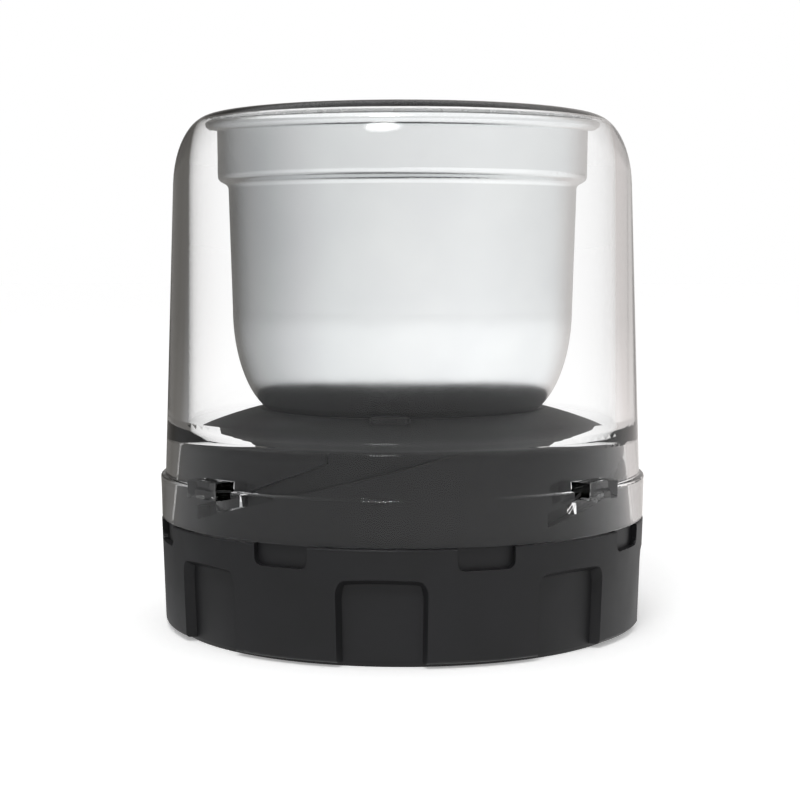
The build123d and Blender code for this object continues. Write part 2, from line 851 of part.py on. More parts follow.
# Coupling screw: pulls the coupling up onto the spindle's end.
with BuildPart() as coupling_screw:
    with BuildSketch(Plane.XY.offset(screw_pocket_top)):
        Circle(coupling_screw_head_radius)
    extrude(amount=-coupling_screw_head_height)
    with BuildSketch(Plane.XY.offset(screw_pocket_top)):
        Circle(coupling_screw_radius)
    extrude(amount=coupling_screw_length)
    with BuildSketch(Plane.XY.offset(screw_pocket_top - coupling_screw_head_height)):
        RegularPolygon(coupling_screw_socket_width / 2, 6, major_radius=False)
    extrude(amount=coupling_screw_socket_depth, mode=Mode.SUBTRACT)
coupling_screw.part.label = "coupling_screw"

# Lid seal: a silicone ring between the cover's top and the bowl's brim.
seal_inner = seal_rib_radius + seal_rib_clearance
lid_seal = tube(
    seal_inner + seal_width, seal_inner, bead_top + seal_gap, cover_underside - seal_gap
)
lid_seal.label = "lid_seal"

# Cover: thick clear plastic, with thread lugs inside its skirt and locking lugs outside.
draft = (skirt_radius - ledge_step - wall_top_radius) / (
    wall_top_height - ledge_height - ledge_rise
)
bore_above_step = skirt_bore_height + bore_step_rise
inner_rise = cover_underside - wall_top_height
inner_draft = (bore_step_radius - bore_step - wall_top_bore) / (
    wall_top_height - bore_above_step
)
lug_bar = helical_bar(
    lug_start,
    lug_end,
    thread_height(lug_start) + lug_lift,
    thread_rise,
    lug_radius,
    skirt_bore_radius + lock_root,
    lug_height,
)

with BuildPart() as lock_lug:
    with BuildSketch(Plane.XY.offset(lock_low)) as lug_plan:
        Circle(lock_radius)
        Circle(skirt_radius - lock_root, mode=Mode.SUBTRACT)
        with Locations((0, -lock_radius)):
            Rectangle(lock_width, lock_radius, mode=Mode.INTERSECT)
    extrude(amount=lock_height)
    fillet(lock_lug.edges().filter_by(Axis.Z).group_by(Axis.Y)[0], lock_round)
    with BuildSketch(Plane.XZ):
        with Locations((-detent_offset, lock_low + detent_depth - detent_radius)):
            Circle(detent_radius)
    extrude(amount=lock_radius + cut_margin, mode=Mode.SUBTRACT)

with BuildPart() as cover:
    with BuildSketch(Plane.XZ):
        with BuildLine():
            FilletPolyline(
                (skirt_radius - skirt_taper, cover_bottom),
                (skirt_radius, ledge_height),
                (skirt_radius - ledge_step, ledge_height + ledge_rise),
                (wall_top_radius, wall_top_height),
                radius=[ledge_round, ledge_root_round],
            )
            Bezier(
                (wall_top_radius, wall_top_height),
                (
                    wall_top_radius - draft * curve_pull * shoulder_rise,
                    wall_top_height + curve_pull * shoulder_rise,
                ),
                (
                    cover_flat_radius + curve_pull * (wall_top_radius - cover_flat_radius),
                    cover_height,
                ),
                (cover_flat_radius, cover_height),
            )
            Polyline(
                (cover_flat_radius, cover_height),
                (0, cover_height),
                (0, cover_underside),
                (underside_radius, cover_underside),
            )
            Bezier(
                (underside_radius, cover_underside),
                (underside_radius + curve_pull * inner_corner_width, cover_underside),
                (
                    wall_top_bore - inner_draft * curve_pull * inner_rise,
                    wall_top_height + curve_pull * inner_rise,
                ),
                (wall_top_bore, wall_top_height),
            )
            FilletPolyline(
                (wall_top_bore, wall_top_height),
                (bore_step_radius - bore_step, bore_above_step),
                (bore_step_radius, skirt_bore_height),
                (skirt_bore_radius, cover_bottom),
                radius=[bore_corner_round, bore_step_round],
            )
            Line((skirt_bore_radius, cover_bottom), (skirt_radius - skirt_taper, cover_bottom))
        make_face()
    revolve(axis=Axis.Z)
    fillet(
        cover.edges().filter_by(GeomType.CIRCLE).group_by(Axis.Z)[0].sort_by(SortBy.RADIUS)[-1],
        lip_round,
    )
    with BuildSketch(Plane.XY.offset(cover_underside)):
        Circle(seal_rib_radius)
        Circle(seal_rib_radius - seal_rib_width, mode=Mode.SUBTRACT)
    extrude(amount=-seal_rib_height)
    with PolarLocations(0, thread_count):
        add(lug_bar)
    with PolarLocations(0, lock_count, start_angle=lock_angle):
        add(lock_lug.part)
cover.part.label = "cover"

pieces = [
    base_housing.part,
    bottom_plate.part,
    bottom_plate_screws,
    collar_screws,
    threaded_collar.part,
    bowl.part,
    bowl_gasket,
    bearing_housing.part,
    bowl_nut_washer,
    bowl_nut.part,
    upper_bush,
    lower_bush,
    shaft_seal,
    spindle.part,
    thrust_washers.part,
    retaining_ring.part,
    lower_blade,
    upper_blade,
    blade_spacer,
    blade_washer,
    blade_nut.part,
    drive_coupling.part,
    coupling_screw.part,
    lid_seal,
    cover.part,
]

os.makedirs("parts", exist_ok=True)
for piece in pieces:
    export_step(piece, f"parts/{piece.label}.step")
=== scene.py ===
import math

import bmesh
import bpy
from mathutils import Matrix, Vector


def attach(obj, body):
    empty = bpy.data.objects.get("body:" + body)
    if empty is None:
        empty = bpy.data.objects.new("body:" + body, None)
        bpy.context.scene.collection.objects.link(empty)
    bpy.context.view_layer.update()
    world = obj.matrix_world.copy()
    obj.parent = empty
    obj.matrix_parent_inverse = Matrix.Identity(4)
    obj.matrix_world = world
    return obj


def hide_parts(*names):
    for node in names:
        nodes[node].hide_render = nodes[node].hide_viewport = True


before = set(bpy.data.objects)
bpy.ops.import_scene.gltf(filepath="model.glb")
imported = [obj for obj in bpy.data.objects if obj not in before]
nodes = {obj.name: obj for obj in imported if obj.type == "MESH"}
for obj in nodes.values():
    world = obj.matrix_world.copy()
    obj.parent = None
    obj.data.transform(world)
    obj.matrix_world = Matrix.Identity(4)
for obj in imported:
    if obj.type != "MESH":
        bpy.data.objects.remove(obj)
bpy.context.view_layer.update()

# Base housing: the deep black foot of the head, with grip recesses and rim notches.
# Injection-moulded ABS with a fine spark-eroded texture. To the eye it is a deep dull black that
# turns a little greyer at a slant, and it shows no sharp reflection.
MM = 0.001


def linear(hex_colour):
    """An sRGB hex colour as linear RGBA."""
    parts = [int(hex_colour[i:i + 2], 16) / 255 for i in (1, 3, 5)]
    return tuple(
        p / 12.92 if p <= 0.04045 else ((p + 0.055) / 1.055) ** 2.4 for p in parts
    ) + (1.0,)


def add_node(tree, kind, settings=None, **links):
    """Adds one node. A link names an input, or its number as i0, and gives a socket or a value."""
    node = tree.nodes.new(kind)
    for name, value in (settings or {}).items():
        setattr(node, name, value)
    for name, value in links.items():
        numbered = name[0] == "i" and name[1:].isdigit()
        socket = node.inputs[int(name[1:]) if numbered else name.replace("_", " ")]
        if isinstance(value, bpy.types.NodeSocket):
            tree.links.new(value, socket)
        else:
            socket.default_value = value
    return node


def start_material(name, **constants):
    """A material with only its shader and output; constants go on the shader's own sockets."""
    mat = bpy.data.materials.new(name)
    mat.use_nodes = True
    tree = mat.node_tree
    tree.nodes.clear()
    shader = tree.nodes.new("ShaderNodeBsdfPrincipled")
    output = tree.nodes.new("ShaderNodeOutputMaterial")
    tree.links.new(shader.outputs[0], output.inputs["Surface"])
    for socket, value in constants.items():
        shader.inputs[socket.replace("_", " ")].default_value = value
    return mat, tree, shader


def cloudy(tree, where, patch_mm, low, high, detail=3.0):
    """A value that drifts between low and high over patches of this size."""
    cloud = add_node(
        tree, "ShaderNodeTexNoise", None, Vector=where, Scale=1 / (patch_mm * MM), Detail=detail
    )
    return add_node(
        tree, "ShaderNodeMapRange", None, i0=cloud.outputs["Fac"], i1=0.3, i2=0.7, i3=low, i4=high
    ).outputs[0]


def tinted(tree, where, patch_mm, dark, pale):
    """A colour that drifts between two shades over patches of this size."""
    return add_node(
        tree, "ShaderNodeMix", {"data_type": "RGBA"},
        i0=cloudy(tree, where, patch_mm, 0.0, 1.0), i6=linear(dark), i7=linear(pale),
    ).outputs[2]


def grained(tree, shader, where, grain_mm, depth_mm, detail=2.0):
    """Raises the surface into grains of this size and depth."""
    grain = add_node(
        tree, "ShaderNodeTexNoise", None, Vector=where, Scale=1 / (grain_mm * MM), Detail=detail
    )
    bump = add_node(
        tree, "ShaderNodeBump", None, Strength=1.0, Distance=depth_mm * MM,
        Height=grain.outputs["Fac"],
    )
    tree.links.new(bump.outputs[0], shader.inputs["Normal"])


def moulded(name, dark, pale, roughness, mottle, grain_mm, depth_mm, **constants):
    """A moulded plastic or rubber: two close shades, drifting gloss and an eroded grain."""
    mat, tree, shader = start_material(name, **constants)
    where = add_node(tree, "ShaderNodeTexCoord").outputs["Object"]
    tree.links.new(tinted(tree, where, 14.0, dark, pale), shader.inputs["Base Color"])
    gloss = cloudy(tree, where, 9.0, roughness - mottle, roughness + mottle)
    tree.links.new(gloss, shader.inputs["Roughness"])
    grained(tree, shader, where, grain_mm, depth_mm)
    return mat


def dress(node_name, mat):
    """Gives a CAD node its material."""
    slots = nodes[node_name].material_slots
    for slot in slots:
        slot.material = mat
    if not slots:
        nodes[node_name].data.materials.append(mat)


textured_abs = moulded(
    "spark_textured_abs", "#141415", "#18181a", 0.50, 0.03, 0.3, 0.004, Specular_IOR_Level=0.25
)
dress("base_housing", textured_abs)

# Bottom plate: closes the housing from below and stands on its foot ring.
# The same ABS from a plainer mould, so its grain is finer and it is a shade glossier.
plate_abs = moulded(
    "fine_textured_abs", "#131314", "#171718", 0.44, 0.03, 0.2, 0.002, Specular_IOR_Level=0.3
)
dress("bottom_plate", plate_abs)

# Screws of the bottom plate and of the collar: four each, driven upwards into moulded bosses.
# Steel with a bright zinc plating: a pale blue-grey that is a little cloudy, with a hexagon socket.
# Each stands for its CAD solids, which have no thread, and is turned as it happened to come tight.
zinc, tree, shader = start_material("bright_zinc_plated_steel", Metallic=1.0)
where = add_node(tree, "ShaderNodeTexCoord").outputs["Object"]
tree.links.new(tinted(tree, where, 1.5, "#b9bec4", "#cfd2d4"), shader.inputs["Base Color"])
tree.links.new(cloudy(tree, where, 0.8, 0.22, 0.34), shader.inputs["Roughness"])

screw_tree = bpy.data.node_groups.new("socket_screws", "GeometryNodeTree")
SCREW_INPUTS = (
    ("Screws", "NodeSocketInt"), ("Circle Radius", "NodeSocketFloat"),
    ("First Angle", "NodeSocketFloat"), ("Seat Height", "NodeSocketFloat"),
    ("Head Radius", "NodeSocketFloat"), ("Head Height", "NodeSocketFloat"),
    ("Head Round", "NodeSocketFloat"), ("Socket Width", "NodeSocketFloat"),
    ("Socket Depth", "NodeSocketFloat"), ("Thread Radius", "NodeSocketFloat"),
    ("Thread Depth", "NodeSocketFloat"), ("Pitch", "NodeSocketFloat"),
    ("Length", "NodeSocketFloat"), ("Seed", "NodeSocketInt"),
    ("Finish", "NodeSocketMaterial"),
)
for name, kind in SCREW_INPUTS:
    screw_tree.interface.new_socket(name, in_out="INPUT", socket_type=kind)
screw_tree.interface.new_socket("Screws", in_out="OUTPUT", socket_type="NodeSocketGeometry")
given = screw_tree.nodes.new("NodeGroupInput").outputs

# What the tree works out from its sizes, each row from values given or worked out before it
point = screw_tree.nodes.new("GeometryNodeInputPosition").outputs[0]
worked = {name: given[name] for name, kind in SCREW_INPUTS}
worked["height"] = add_node(screw_tree, "ShaderNodeSeparateXYZ", None, Vector=point).outputs["Z"]
worked["step"] = screw_tree.nodes.new("GeometryNodeInputIndex").outputs[0]
for name, operation, first, second in (
    ("half head", "MULTIPLY", "Head Height", 0.5),
    ("face", "MULTIPLY", "Head Height", -0.5),
    ("above face", "ADD", "height", "half head"),
    ("rounds up", "DIVIDE", "above face", "Head Round"),
    ("out of round", "MINIMUM", "rounds up", 1.0),
    ("into round", "SUBTRACT", 1.0, "out of round"),
    ("squared", "MULTIPLY", "into round", "into round"),
    ("other side", "SUBTRACT", 1.0, "squared"),
    ("out", "SQRT", "other side", 0.0),
    ("drop", "SUBTRACT", 1.0, "out"),
    ("drop inwards", "MULTIPLY", "drop", "Head Round"),
    ("drop share", "DIVIDE", "drop inwards", "Head Radius"),
    ("draw in", "SUBTRACT", 1.0, "drop share"),
    ("drill radius", "DIVIDE", "Socket Width", math.sqrt(3)),
    ("drill length", "MULTIPLY", "Socket Depth", 2.0),
    ("core radius", "SUBTRACT", "Thread Radius", "Thread Depth"),
    ("middle", "MULTIPLY", "Length", 0.5),
    ("plain ends", "MULTIPLY", "Pitch", 2.0),
    ("run", "SUBTRACT", "Length", "plain ends"),
    ("turns", "DIVIDE", "run", "Pitch"),
    ("steps round", "MULTIPLY", "step", math.tau),
    ("step angle", "DIVIDE", "steps round", "Screws"),
    ("seat angle", "ADD", "First Angle", "step angle"),
    ("cosine", "COSINE", "seat angle", 0.0),
    ("sine", "SINE", "seat angle", 0.0),
    ("seat x", "MULTIPLY", "Circle Radius", "cosine"),
    ("seat y", "MULTIPLY", "Circle Radius", "sine"),
):
    worked[name] = add_node(
        screw_tree, "ShaderNodeMath", {"operation": operation},
        i0=worked.get(first, first), i1=worked.get(second, second),
    ).outputs[0]

# The head's rim is rounded by drawing in the rings of a plain disc near its lower face
ROUND_FACETS, HEAD_RINGS, SHANK_FACETS, TURN_STEPS = 48, 12, 24, 20
disc = add_node(
    screw_tree, "GeometryNodeMeshCylinder", None, Vertices=ROUND_FACETS, Side_Segments=HEAD_RINGS,
    Radius=given["Head Radius"], Depth=given["Head Height"],
)
spread = add_node(
    screw_tree, "ShaderNodeCombineXYZ", None, X=worked["draw in"], Y=worked["draw in"], Z=1.0
)
drawn_in = add_node(
    screw_tree, "ShaderNodeVectorMath", {"operation": "MULTIPLY"}, i0=point, i1=spread.outputs[0]
)
rounded = add_node(
    screw_tree, "GeometryNodeSetPosition", None,
    Geometry=disc.outputs["Mesh"], Position=drawn_in.outputs[0],
)
drill = add_node(
    screw_tree, "GeometryNodeMeshCylinder", None, Vertices=6,
    Radius=worked["drill radius"], Depth=worked["drill length"],
)
face_offset = add_node(screw_tree, "ShaderNodeCombineXYZ", None, Z=worked["face"])
drill_low = add_node(
    screw_tree, "GeometryNodeTransform", None,
    Geometry=drill.outputs["Mesh"], Translation=face_offset.outputs[0],
)
head = add_node(
    screw_tree, "GeometryNodeMeshBoolean", {"operation": "DIFFERENCE", "solver": "EXACT"},
    Mesh_1=rounded.outputs[0], Mesh_2=drill_low.outputs[0],
)
head_at_seat = add_node(
    screw_tree, "GeometryNodeTransform", None,
    Geometry=head.outputs["Mesh"], Translation=face_offset.outputs[0],
)

# The shank is the thread's core, and the thread a diamond section swept up a helix round it
shank = add_node(
    screw_tree, "GeometryNodeMeshCylinder", None, Vertices=SHANK_FACETS,
    Radius=worked["core radius"], Depth=given["Length"],
)
shank_up = add_node(
    screw_tree, "GeometryNodeTransform", None, Geometry=shank.outputs["Mesh"],
    Translation=add_node(
        screw_tree, "ShaderNodeCombineXYZ", None, Z=worked["middle"]
    ).outputs[0],
)
helix = add_node(
    screw_tree, "GeometryNodeCurveSpiral", None, Resolution=TURN_STEPS, Rotations=worked["turns"],
    Start_Radius=worked["core radius"], End_Radius=worked["core radius"], Height=worked["run"],
)
upright = add_node(
    screw_tree, "GeometryNodeSetCurveNormal", {"mode": "Z_UP"}, Curve=helix.outputs[0]
)
flank = add_node(
    screw_tree, "GeometryNodeCurvePrimitiveCircle", None, Resolution=4,
    Radius=given["Thread Depth"],
)
thread = add_node(
    screw_tree, "GeometryNodeCurveToMesh", None,
    Curve=upright.outputs[0], Profile_Curve=flank.outputs[0], Fill_Caps=True,
)
thread_up = add_node(
    screw_tree, "GeometryNodeTransform", None, Geometry=thread.outputs[0],
    Translation=add_node(screw_tree, "ShaderNodeCombineXYZ", None, Z=given["Pitch"]).outputs[0],
)
one_screw = screw_tree.nodes.new("GeometryNodeJoinGeometry")
for part in (thread_up, shank_up, head_at_seat):
    screw_tree.links.new(part.outputs[0], one_screw.inputs[0])

# One screw stands at each step round the circle, each turned its own way
seat = add_node(
    screw_tree, "ShaderNodeCombineXYZ", None,
    X=worked["seat x"], Y=worked["seat y"], Z=given["Seat Height"],
)
on_seat = add_node(
    screw_tree, "GeometryNodePoints", None, Count=given["Screws"], Position=seat.outputs[0]
)
own_turn = add_node(
    screw_tree, "FunctionNodeRandomValue", {"data_type": "FLOAT"},
    i2=0.0, i3=math.tau, Seed=given["Seed"],
)
driven = add_node(
    screw_tree, "GeometryNodeInstanceOnPoints", None,
    Points=on_seat.outputs[0], Instance=one_screw.outputs[0],
    Rotation=add_node(
        screw_tree, "ShaderNodeCombineXYZ", None, Z=own_turn.outputs[1]
    ).outputs[0],
)
real = add_node(screw_tree, "GeometryNodeRealizeInstances", None, Geometry=driven.outputs[0])
plated = add_node(
    screw_tree, "GeometryNodeSetMaterial", None, Geometry=real.outputs[0],
    Material=given["Finish"],
)
screw_tree.links.new(plated.outputs[0], screw_tree.nodes.new("NodeGroupOutput").inputs[0])

SHARP_ANGLE = math.radians(35)


def make_screws(name, **sizes):
    """Runs the screw tree with these sizes and keeps the result as one plain mesh."""
    blank = bpy.data.objects.new(name + "_blank", bpy.data.meshes.new(name + "_blank"))
    bpy.context.scene.collection.objects.link(blank)
    maker = blank.modifiers.new("screws", "NODES")
    maker.node_group = screw_tree
    for item in screw_tree.interface.items_tree:
        if item.in_out == "INPUT":
            maker[item.identifier] = sizes[item.name.replace(" ", "_")]
    seen = blank.evaluated_get(bpy.context.evaluated_depsgraph_get())
    mesh = bpy.data.meshes.new_from_object(seen)
    blank.modifiers.clear()
    bpy.data.objects.remove(blank)
    screws = bpy.data.objects.new(name, mesh)
    bpy.context.scene.collection.objects.link(screws)
    mesh.shade_smooth()
    mesh.set_sharp_from_angle(angle=SHARP_ANGLE)
    return screws


SCREW_CIRCLE = 46.3 * MM
screw_sizes = dict(
    Screws=4, Circle_Radius=SCREW_CIRCLE, Head_Radius=2.8 * MM, Head_Height=1.9 * MM,
    Head_Round=0.6 * MM, Socket_Width=2.2 * MM, Socket_Depth=1.1 * MM,
    Thread_Radius=1.5 * MM, Thread_Depth=0.35 * MM, Pitch=1.1 * MM, Length=11.0 * MM, Finish=zinc,
)
plate_screws = make_screws(
    "plate_screws_threaded", First_Angle=0.0, Seat_Height=2.6 * MM, Seed=3, **screw_sizes
)
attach(plate_screws, "base")
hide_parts("bottom_plate_screws")
collar_screws = make_screws(
    "collar_screws_threaded", First_Angle=math.radians(45), Seat_Height=22.3 * MM, Seed=8,
    **screw_sizes
)
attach(collar_screws, "base")
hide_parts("collar_screws")

# Threaded collar: the black dome that carries the bowl and the cover's thread.
# Injection-moulded ABS from a satin mould: as black as the base, smoother, with soft highlights.
satin_abs = moulded(
    "satin_moulded_abs", "#252526", "#29292a", 0.48, 0.02, 0.10, 0.0003, Specular_IOR_Level=0.10
)
dress("threaded_collar", satin_abs)

# Bowl: deep drawn from stainless sheet, with a stepped collar and a rolled brim.
# Bead-blasted after drawing: an even satin that mirrors the room only as broad soft shades.
blasted, tree, shader = start_material("bead_blasted_stainless", Metallic=1.0)
where = add_node(tree, "ShaderNodeTexCoord").outputs["Object"]
tree.links.new(tinted(tree, where, 20.0, "#e3e5e6", "#e9ebeb"), shader.inputs["Base Color"])
tree.links.new(cloudy(tree, where, 12.0, 0.19, 0.23), shader.inputs["Roughness"])
grained(tree, shader, where, 0.12, 0.0003)
dress("bowl", blasted)

# Bowl gasket: a flat ring under the bearing housing's flange, cut from silicone sheet.
# Mid grey and dull, with the faint cloudiness of filled silicone.
grey_silicone = moulded(
    "grey_silicone_sheet", "#9b9b9a", "#a5a5a3", 0.55, 0.05, 0.4, 0.004, Specular_IOR_Level=0.4
)
dress("bowl_gasket", grey_silicone)

# Bearing housing: turned from black acetal bar, its flange in the bowl and its stem through it.
# A waxy black whose fine tool rings, 0.25 mm apart, catch the light as broken circles.


def ringed(tree, shader, feed_mm, depth_mm):
    """A tool's rings round the Z axis: ridges this far apart across and along the piece."""
    where = add_node(tree, "ShaderNodeTexCoord").outputs["Object"]
    parts = add_node(tree, "ShaderNodeSeparateXYZ", None, Vector=where)
    flat = add_node(
        tree, "ShaderNodeCombineXYZ", None, X=parts.outputs["X"], Y=parts.outputs["Y"], Z=0.0
    )
    radius = add_node(
        tree, "ShaderNodeVectorMath", {"operation": "LENGTH"}, i0=flat.outputs[0]
    ).outputs["Value"]
    travel = add_node(
        tree, "ShaderNodeCombineXYZ", None, X=radius, Y=parts.outputs["Z"], Z=0.0
    ).outputs[0]
    ridges = add_node(
        tree, "ShaderNodeTexNoise", None, Vector=travel, Scale=1 / (feed_mm * MM), Detail=1.0
    )
    bump = add_node(
        tree, "ShaderNodeBump", None, Strength=1.0, Distance=depth_mm * MM,
        Height=ridges.outputs["Fac"],
    )
    tree.links.new(bump.outputs[0], shader.inputs["Normal"])
    return where


acetal, tree, shader = start_material("turned_acetal", Specular_IOR_Level=0.45)
where = ringed(tree, shader, 0.25, 0.006)
tree.links.new(tinted(tree, where, 6.0, "#1c1c1d", "#232324"), shader.inputs["Base Color"])
tree.links.new(cloudy(tree, where, 3.0, 0.30, 0.38), shader.inputs["Roughness"])
dress("bearing_housing", acetal)

# Bowl nut and its washer, below the bowl: they clamp bowl, collar and bearing housing together.
# Turned stainless steel, left as it came off the lathe: bright, with fine rings.
turned_steel, tree, shader = start_material("turned_stainless", Metallic=1.0)
where = ringed(tree, shader, 0.18, 0.004)
tree.links.new(tinted(tree, where, 5.0, "#bdbcb9", "#cbcac7"), shader.inputs["Base Color"])
tree.links.new(cloudy(tree, where, 2.0, 0.20, 0.30), shader.inputs["Roughness"])
for name in ("bowl_nut", "bowl_nut_washer"):
    dress(name, turned_steel)

# Bushes: two oil-filled sleeves pressed into the bearing housing.
# Sintered bronze: brown-gold, matt and finely porous, darker where the oil stands in the pores.
bronze, tree, shader = start_material("sintered_bronze", Metallic=1.0)
where = add_node(tree, "ShaderNodeTexCoord").outputs["Object"]
tree.links.new(tinted(tree, where, 0.35, "#7a5a35", "#b08a58"), shader.inputs["Base Color"])
tree.links.new(cloudy(tree, where, 0.5, 0.38, 0.52), shader.inputs["Roughness"])
grained(tree, shader, where, 0.15, 0.012, detail=4.0)
for name in ("upper_bush", "lower_bush"):
    dress(name, bronze)

# Shaft seal: the lip ring that keeps grounds out of the upper bush.
# Moulded nitrile rubber: soft black with no clear reflection.
nitrile = moulded(
    "moulded_nitrile", "#141413", "#1a1a19", 0.60, 0.05, 0.2, 0.004, Specular_IOR_Level=0.35
)
dress("shaft_seal", nitrile)

# Spindle: turned and ground steel, its flange under the blades and a flat for the coupling.
# The same bright turned finish as the nut.
dress("spindle", turned_steel)

# Thrust washers: stamped from nylon sheet, above and below the bearing housing.
# Off-white and faintly waxy.
nylon = moulded(
    "stamped_nylon", "#dedbd2", "#e8e5dd", 0.42, 0.05, 0.5, 0.003, Subsurface_Weight=0.15,
    Subsurface_Scale=0.8 * MM,
)
dress("thrust_washers", nylon)

# Retaining ring: a spring clip in the spindle's groove.
# Hardened and oil-blackened spring steel: blue-black with a dull sheen.
blackened, tree, shader = start_material("oil_blackened_spring_steel", Metallic=1.0)
where = add_node(tree, "ShaderNodeTexCoord").outputs["Object"]
tree.links.new(tinted(tree, where, 1.2, "#33363b", "#4a4c50"), shader.inputs["Base Color"])
tree.links.new(cloudy(tree, where, 0.8, 0.34, 0.46), shader.inputs["Roughness"])
dress("retaining_ring", blackened)

# Blades: two pressed from 1.5 mm stainless strip, crossed, with a bevel on each leading edge.
# Ground flat along their length, so fine straight scratches run out to each tip.


def ground_along(name, degrees):
    """Stainless strip with grinding scratches along this direction in plan."""
    mat, tree, shader = start_material(name, Metallic=1.0)
    where = add_node(tree, "ShaderNodeTexCoord").outputs["Object"]
    turned = add_node(
        tree, "ShaderNodeMapping", None, Vector=where, Rotation=(0, 0, -math.radians(degrees))
    ).outputs[0]
    # Real scratches are 0.02 mm wide; here they are 0.12 mm so that they show
    drawn_out = add_node(
        tree, "ShaderNodeMapping", None, Vector=turned, Scale=(0.02, 1.0, 0.3)
    ).outputs[0]
    scratches = add_node(
        tree, "ShaderNodeTexNoise", None, Vector=drawn_out, Scale=1 / (0.12 * MM), Detail=2.0
    )
    tree.links.new(tinted(tree, where, 8.0, "#c4c4c2", "#d2d2d0"), shader.inputs["Base Color"])
    gloss = add_node(
        tree, "ShaderNodeMapRange", None,
        i0=scratches.outputs["Fac"], i1=0.3, i2=0.7, i3=0.16, i4=0.34,
    )
    tree.links.new(gloss.outputs[0], shader.inputs["Roughness"])
    bump = add_node(
        tree, "ShaderNodeBump", None, Strength=1.0, Distance=0.004 * MM,
        Height=scratches.outputs["Fac"],
    )
    tree.links.new(bump.outputs[0], shader.inputs["Normal"])
    return mat


LOWER_BLADE_CLOCK = 35.0
dress("lower_blade", ground_along("ground_stainless_lower_blade", LOWER_BLADE_CLOCK))
dress("upper_blade", ground_along("ground_stainless_upper_blade", LOWER_BLADE_CLOCK + 90))

# Blade spacer, washer and cap nut: they hold the blades apart and down on the spindle's flange.
# Turned stainless like the spindle.
for name in ("blade_spacer", "blade_washer", "blade_nut"):
    dress(name, turned_steel)

# Drive coupling: the splined cup that takes the motor base's drive dog.
# Moulded glass-filled nylon: charcoal, with the pale specks and slight roughness of glass fibre.
glass_nylon, tree, shader = start_material("glass_filled_nylon", Specular_IOR_Level=0.4)
where = add_node(tree, "ShaderNodeTexCoord").outputs["Object"]
tree.links.new(tinted(tree, where, 0.6, "#1b1b1c", "#2a2a2b"), shader.inputs["Base Color"])
tree.links.new(cloudy(tree, where, 1.0, 0.42, 0.56), shader.inputs["Roughness"])
grained(tree, shader, where, 0.35, 0.008, detail=4.0)
dress("drive_coupling", glass_nylon)

# Coupling screw: draws the coupling up onto the spindle's end.
# Zinc-plated like the others, with a machine thread and a square-edged head.
coupling_screw = make_screws(
    "coupling_screw_threaded", Screws=1, Circle_Radius=0.0, First_Angle=0.0,
    Seat_Height=19.6 * MM, Head_Radius=3.8 * MM, Head_Height=2.2 * MM, Head_Round=0.3 * MM,
    Socket_Width=2.8 * MM, Socket_Depth=1.3 * MM, Thread_Radius=2.0 * MM,
    Thread_Depth=0.35 * MM, Pitch=0.7 * MM, Length=10.0 * MM, Seed=5, Finish=zinc,
)
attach(coupling_screw, "rotor")
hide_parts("coupling_screw")

# Lid seal: a thin ring in the cover's top that presses on the bowl's brim.
# Clear silicone: milky, with light passing through it.
milky, tree, shader = start_material(
    "translucent_silicone", Transmission_Weight=0.35, IOR=1.41, Specular_IOR_Level=0.4
)
where = add_node(tree, "ShaderNodeTexCoord").outputs["Object"]
tree.links.new(tinted(tree, where, 5.0, "#f0f1f1", "#f8f8f8"), shader.inputs["Base Color"])
tree.links.new(cloudy(tree, where, 3.0, 0.22, 0.32), shader.inputs["Roughness"])
dress("lid_seal", milky)

# Cover: thick and clear, with thread lugs inside its skirt and locking lugs outside.
# Injection-moulded copolyester from a polished mould: glass-clear, with crisp reflections at a
# slant and hardly any face on, so its index and its face-on gloss are matched below the resin's.
clear, tree, shader = start_material(
    "clear_copolyester", Transmission_Weight=1.0, Roughness=0.0, IOR=1.36
)
shader.inputs["Base Color"].default_value = linear("#ffffff")
shader.inputs["Specular Tint"].default_value = linear("#bcbcbc")
dress("cover", clear)

# Studio tent: white walls and ceiling, a dark card behind on the left, a pale one on the right.
# What is seen straight through the cover is plain white, as the camera sees it. Reflections see the
# cards, and dull surfaces get an even light.
tent_wall = (
    (-180, "#b0aeac"), (-163, "#686663"), (-140, "#605e5b"), (-127, "#868686"),
    (-114, "#a2a2a2"), (-90, "#b9babb"), (-67, "#d5d5d6"), (-45, "#e8e9e9"),
    (0, "#f5f5f5"), (50, "#fefefe"), (112, "#f2f2f2"), (140, "#cdc8c6"), (180, "#c4c2c0"),
)
tent = bpy.data.node_groups.new("tent_wall", "ShaderNodeTree")
tent.interface.new_socket("Direction", in_out="INPUT", socket_type="NodeSocketVector")
tent.interface.new_socket("Colour", in_out="OUTPUT", socket_type="NodeSocketColor")
axes = add_node(
    tent, "ShaderNodeSeparateXYZ", None, Vector=tent.nodes.new("NodeGroupInput").outputs[0]
)
front = add_node(
    tent, "ShaderNodeMath", {"operation": "MULTIPLY"}, i0=axes.outputs["Y"], i1=-1.0
)
azimuth = add_node(
    tent, "ShaderNodeMath", {"operation": "ARCTAN2"}, i0=axes.outputs["X"], i1=front.outputs[0]
)
share = add_node(
    tent, "ShaderNodeMapRange", None, i0=azimuth.outputs[0], i1=-math.pi, i2=math.pi, i3=0.0, i4=1.0
)
wall = add_node(tent, "ShaderNodeValToRGB", None, Fac=share.outputs[0])
stops = wall.color_ramp.elements
for number, (degrees, shade) in enumerate(tent_wall):
    position = (degrees + 180) / 360
    if number < 2:
        stops[number].position = position
    else:
        stops.new(position)
    stops[number].color = linear(shade)
level_run = add_node(
    tent, "ShaderNodeCombineXYZ", None, X=axes.outputs["X"], Y=axes.outputs["Y"], Z=0.0
)
level_length = add_node(
    tent, "ShaderNodeVectorMath", {"operation": "LENGTH"}, i0=level_run.outputs[0]
)
